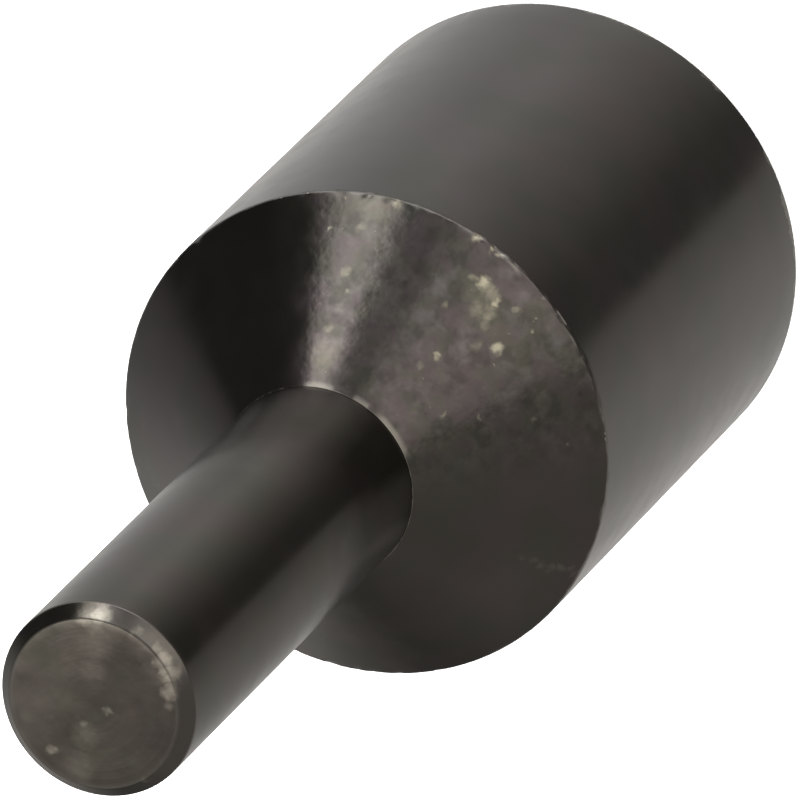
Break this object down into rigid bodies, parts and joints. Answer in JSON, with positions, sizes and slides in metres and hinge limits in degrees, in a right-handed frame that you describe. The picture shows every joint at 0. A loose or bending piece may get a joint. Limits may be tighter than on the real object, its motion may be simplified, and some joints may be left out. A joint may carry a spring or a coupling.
{
  "type": "drive hole punch",
  "caption": "Drive hole punch: stout round striking body with a conical shoulder and a slender solid round pin, held in its bore by a grub screw.",
  "frame": {"origin": "centre of the flat striking face, which the tool stands on", "axes": "+Z along the tool's axis from the striking face to the pin's tip, +Y through the grub screw towards the outside"},
  "size_m": [0.016, 0.016, 0.0409],
  "materials": {
    "body_steel": "black oxide, semi-gloss, rubbed bright at the edges",
    "pin_steel": "black oxide, semi-gloss, worn bright on the tip's chamfer",
    "screw_steel": "black oxide, satin"
  },
  "bodies": {
    "body": {"punch_body": "body_steel"},
    "pin": {"punch_pin": "pin_steel"},
    "screw": {"grub_screw": "screw_steel"}
  },
  "joints": [
    {"name": "pin_slide", "type": "slide", "parent": "body", "child": "pin", "axis": [0, 0, 1], "range_m": [0, 0.018]},
    {"name": "screw_travel", "type": "slide", "parent": "body", "child": "screw", "axis": [0, 1, 0], "range_m": [0, 0.0063]}
  ]
}
